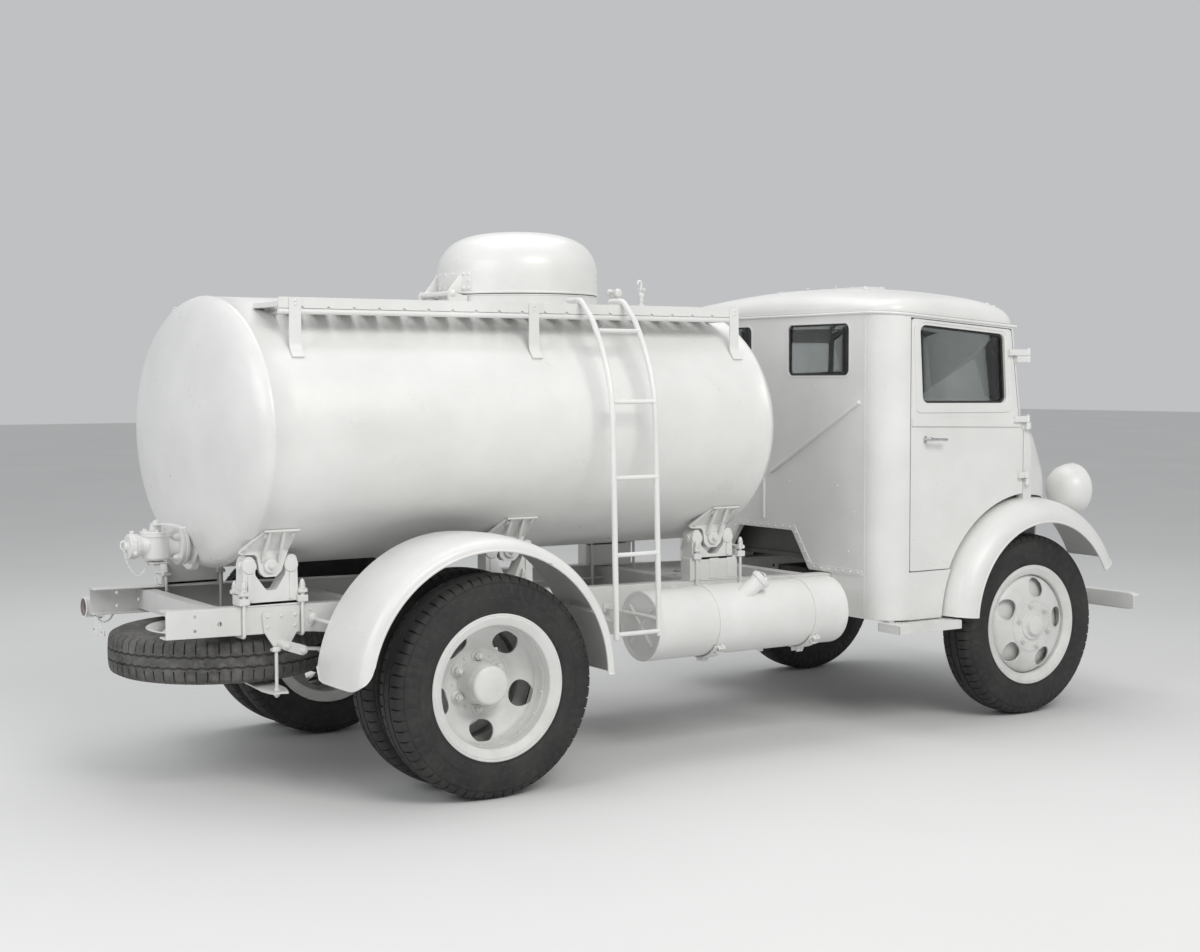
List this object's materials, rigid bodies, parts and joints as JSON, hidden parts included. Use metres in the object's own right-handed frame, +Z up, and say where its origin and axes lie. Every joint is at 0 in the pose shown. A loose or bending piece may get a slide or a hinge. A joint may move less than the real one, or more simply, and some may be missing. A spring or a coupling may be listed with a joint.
{
  "type": "tanker truck",
  "caption": "Short-nosed tanker truck with an elliptical tank on rocking pedestals, domed manhole cover, ladder and twin rear wheels.",
  "frame": {"origin": "on the ground under the middle of the truck's box", "axes": "+X to the front of the truck, +Y to its left, +Z up"},
  "size_m": [5.0799, 2.06, 2.3182],
  "materials": {
    "white_paint": "gloss white enamel, brushed on over steel",
    "tyre_rubber": "dark rubber, a little dusty",
    "clear_glass": "flat clear glass",
    "seat_cover": "worn dark brown leathercloth",
    "bare_iron": "dull dark iron",
    "black_rim": "black moulded rim",
    "lamp_body": "white enamel with a dark lens"
  },
  "bodies": {
    "root": {"cab_floor": "white_paint", "cab_glass": "clear_glass", "cab_rear_wall": "white_paint", "cab_roof": "white_paint", "cab_sides": "white_paint", "cab_steps": "white_paint", "crossmembers": "white_paint", "dashboard": "white_paint", "engine_block": "bare_iron", "exhaust_pipe": "bare_iron", "frame_rails": "white_paint", "front_axle_beam": "white_paint", "front_bumper": "white_paint", "front_fenders": "white_paint", "front_springs": "white_paint", "fuel_tank": "white_paint", "grille": "white_paint", "headlamps": "white_paint", "ladder": "white_paint", "manhole_neck": "white_paint", "nose_panel": "white_paint", "outlet_cap": "white_paint", "outlet_valve": "white_paint", "pedestals": "white_paint", "plate_bracket": "white_paint", "propeller_shaft": "white_paint", "rear_axle_housing": "white_paint", "rear_fenders": "white_paint", "rear_springs": "white_paint", "seat_back": "seat_cover", "seat_base": "white_paint", "seat_cushion": "seat_cover", "spare_carrier": "white_paint", "spare_tyre": "tyre_rubber", "spare_wheel": "white_paint", "steering_wheel": "black_rim", "tail_lamp": "lamp_body", "tank_brackets": "white_paint", "tank_shell": "white_paint", "tank_vents": "white_paint", "walkway": "white_paint", "windshield_frame": "white_paint"},
    "dome_cover": {"dome_cover": "white_paint"},
    "door_left": {"door_left": "white_paint", "door_glass_left": "clear_glass"},
    "door_right": {"door_right": "white_paint", "door_glass_right": "clear_glass"},
    "knuckle_left": {"knuckle_left": "white_paint"},
    "knuckle_right": {"knuckle_right": "white_paint"},
    "tie_rod": {"tie_rod": "white_paint"},
    "front_left_wheel": {"front_wheel_left": "white_paint", "front_tyre_left": "tyre_rubber"},
    "front_right_wheel": {"front_wheel_right": "white_paint", "front_tyre_right": "tyre_rubber"},
    "rear_left_wheels": {"rear_wheels_left": "white_paint", "rear_tyres_left": "tyre_rubber"},
    "rear_right_wheels": {"rear_wheels_right": "white_paint", "rear_tyres_right": "tyre_rubber"}
  },
  "joints": [
    {"name": "steer_left", "type": "hinge", "parent": "root", "child": "knuckle_left", "pos_m": [1.737, 0.7, 0.445], "axis": [0, 0, 1], "range_deg": [-30, 30]},
    {"name": "steer_right", "type": "hinge", "parent": "root", "child": "knuckle_right", "pos_m": [1.737, -0.7, 0.445], "axis": [0, 0, 1], "range_deg": [-30, 30]},
    {"name": "tie_rod_pivot", "type": "hinge", "parent": "knuckle_left", "child": "tie_rod", "pos_m": [1.577, 0.7, 0.412], "axis": [0, 0, 1], "range_deg": [-30, 30]},
    {"name": "front_left_spin", "type": "hinge", "parent": "knuckle_left", "child": "front_left_wheel", "pos_m": [1.737, 0.818, 0.445], "axis": [0, 1, 0], "continuous": true},
    {"name": "front_right_spin", "type": "hinge", "parent": "knuckle_right", "child": "front_right_wheel", "pos_m": [1.737, -0.818, 0.445], "axis": [0, 1, 0], "continuous": true},
    {"name": "rear_left_spin", "type": "hinge", "parent": "root", "child": "rear_left_wheels", "pos_m": [-1.33, 0.7855, 0.445], "axis": [0, 1, 0], "continuous": true},
    {"name": "rear_right_spin", "type": "hinge", "parent": "root", "child": "rear_right_wheels", "pos_m": [-1.33, -0.7855, 0.445], "axis": [0, 1, 0], "continuous": true},
    {"name": "door_left_swing", "type": "hinge", "parent": "root", "child": "door_left", "pos_m": [1.725, 0.884, 1.438], "axis": [0, 0, -1], "range_deg": [0, 65]},
    {"name": "door_right_swing", "type": "hinge", "parent": "root", "child": "door_right", "pos_m": [1.725, -0.884, 1.438], "axis": [0, 0, 1], "range_deg": [0, 65]},
    {"name": "dome_cover_lid", "type": "hinge", "parent": "root", "child": "dome_cover", "pos_m": [-1.06, 0, 2.03], "axis": [0, -1, 0], "range_deg": [0, 100]}
  ],
  "couplings": [
    {"joint": "steer_right", "follows": "steer_left", "ratio": 1},
    {"joint": "tie_rod_pivot", "follows": "steer_left", "ratio": -1}
  ]
}
